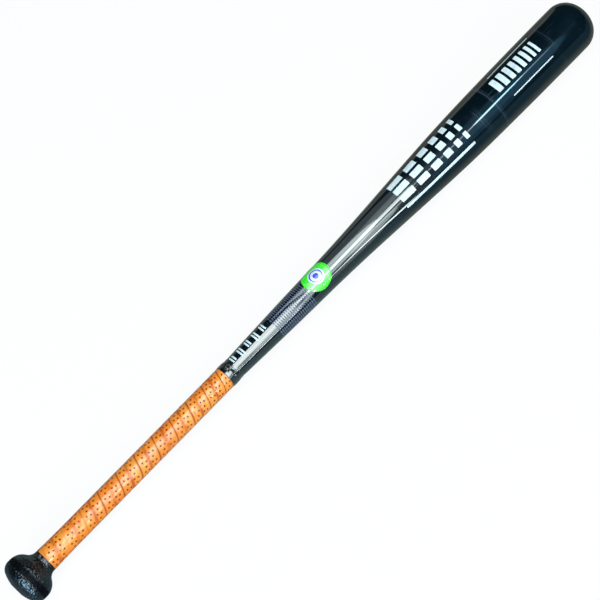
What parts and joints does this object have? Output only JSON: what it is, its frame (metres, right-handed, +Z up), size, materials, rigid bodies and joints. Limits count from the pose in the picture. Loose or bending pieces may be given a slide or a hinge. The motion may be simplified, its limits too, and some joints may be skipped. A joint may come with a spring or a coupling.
{
  "type": "aluminium ball bat",
  "caption": "Slim one-piece aluminium ball bat: gloss black tube with a domed head, full round knob and a wound orange perforated grip.",
  "frame": {"origin": "middle of the bat's length and width, on the surface that it lies on", "axes": "+Z up; +X along the bat from the knob to the head, within the 0.18 degrees by which the bat tips as it rests on its knob rim and barrel; +Y across it"},
  "size_m": [0.84, 0.0568, 0.0568],
  "materials": {
    "black_paint": "gloss black lacquer over aluminium",
    "bare_weld": "ground weld, bare",
    "black_rubber": "satin moulded rubber",
    "slug_steel": "turned steel",
    "cream_foam": "matt urethane foam",
    "grey_foam": "matt urethane foam",
    "orange_grip": "glossy perforated synthetic leather",
    "black_vinyl": "black vinyl tape",
    "green_sticker": "glossy printed film"
  },
  "bodies": {
    "root": {"bat_tube": "black_paint", "head_plug": "black_rubber", "sound_damper": "cream_foam", "knob": "black_paint", "knob_weld": "bare_weld", "knob_plug": "black_rubber", "balance_slug": "slug_steel", "handle_stopper": "grey_foam", "grip_tape": "orange_grip", "finish_band": "black_vinyl", "round_sticker": "green_sticker"}
  },
  "joints": []
}
